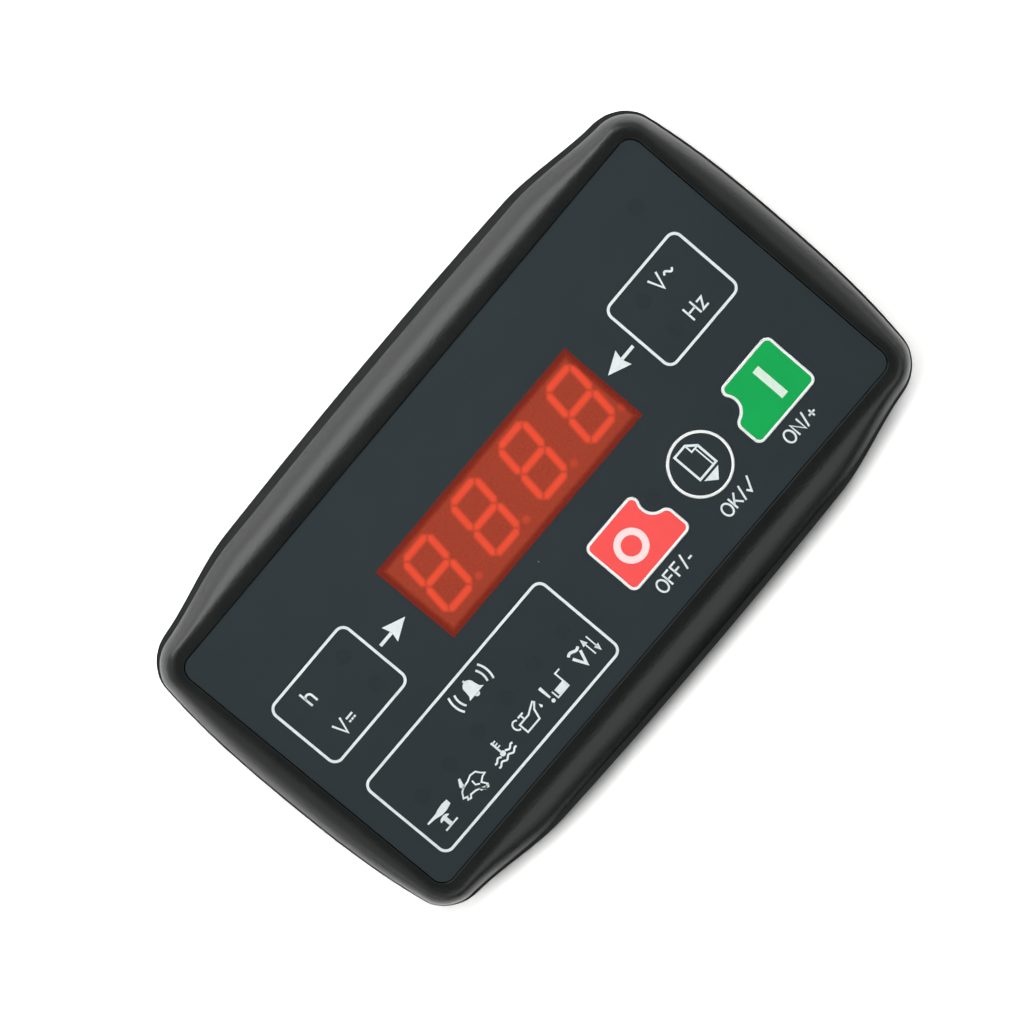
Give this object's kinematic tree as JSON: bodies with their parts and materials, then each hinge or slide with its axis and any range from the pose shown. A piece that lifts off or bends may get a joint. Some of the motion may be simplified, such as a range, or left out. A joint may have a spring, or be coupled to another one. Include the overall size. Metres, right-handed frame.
{
  "type": "genset controller",
  "caption": "Panel-mounted generator controller: bulged black bezel, printed film, red digit display, sprung keys, and a rear case with plug sockets.",
  "frame": {"origin": "centre of the flat back face of the rear case", "axes": "+X along the reading direction of the face, +Y up the face, +Z out of the face"},
  "size_m": [0.1072, 0.0632, 0.0415],
  "materials": {
    "bezel": "fine matt mould texture, black",
    "film": "matt printed film, slate black",
    "window": "red see-through filter",
    "stop_red": "matt printed film, red",
    "run_green": "matt printed film, green",
    "plunger": "natural nylon",
    "component": "moulded black",
    "display_face": "dark face of the display",
    "segments": "light diffusing bars",
    "board": "circuit board with green solder mask",
    "brass": "turned brass",
    "steel": "zinc plated steel",
    "can": "sleeved aluminium can",
    "socket": "moulded green",
    "tinned": "tinned",
    "rear_case": "matt moulded black",
    "gasket": "foam rubber",
    "lamp": "clear moulded lamp"
  },
  "bodies": {
    "controller": {"front_bezel": "bezel", "front_film": "film", "display_window": "window", "stop_switch": "component", "page_switch": "component", "run_switch": "component", "display_module": "display_face", "display_segments": "segments", "display_board": "board", "main_board": "board", "standoffs": "brass", "board_screws": "steel", "start_relay": "component", "fuel_relay": "component", "alarm_relay": "component", "microcontroller": "component", "capacitor": "can", "inductor": "component", "link_socket": "component", "link_header": "component", "io_socket": "socket", "io_pins": "tinned", "ac_socket": "socket", "ac_pins": "tinned", "rear_case": "rear_case", "case_screws": "steel", "panel_gasket": "gasket", "hour_led": "lamp", "dc_volts_led": "lamp", "ac_volts_led": "lamp", "hertz_led": "lamp", "status_led": "lamp", "stop_led": "lamp", "run_led": "lamp", "alarm_led_1": "lamp", "alarm_led_2": "lamp", "alarm_led_3": "lamp", "alarm_led_4": "lamp", "alarm_led_5": "lamp", "alarm_led_6": "lamp"},
    "stop_button": {"stop_key": "stop_red", "stop_plunger": "plunger"},
    "page_button": {"page_key": "film", "page_plunger": "plunger"},
    "run_button": {"run_key": "run_green", "run_plunger": "plunger"}
  },
  "joints": [
    {"name": "stop_press", "type": "slide", "parent": "controller", "child": "stop_button", "axis": [0, 0, -1], "range_m": [0, 0.00035], "stiffness_N_per_m": 6000},
    {"name": "page_press", "type": "slide", "parent": "controller", "child": "page_button", "axis": [0, 0, -1], "range_m": [0, 0.00035], "stiffness_N_per_m": 6000},
    {"name": "run_press", "type": "slide", "parent": "controller", "child": "run_button", "axis": [0, 0, -1], "range_m": [0, 0.00035], "stiffness_N_per_m": 6000}
  ]
}
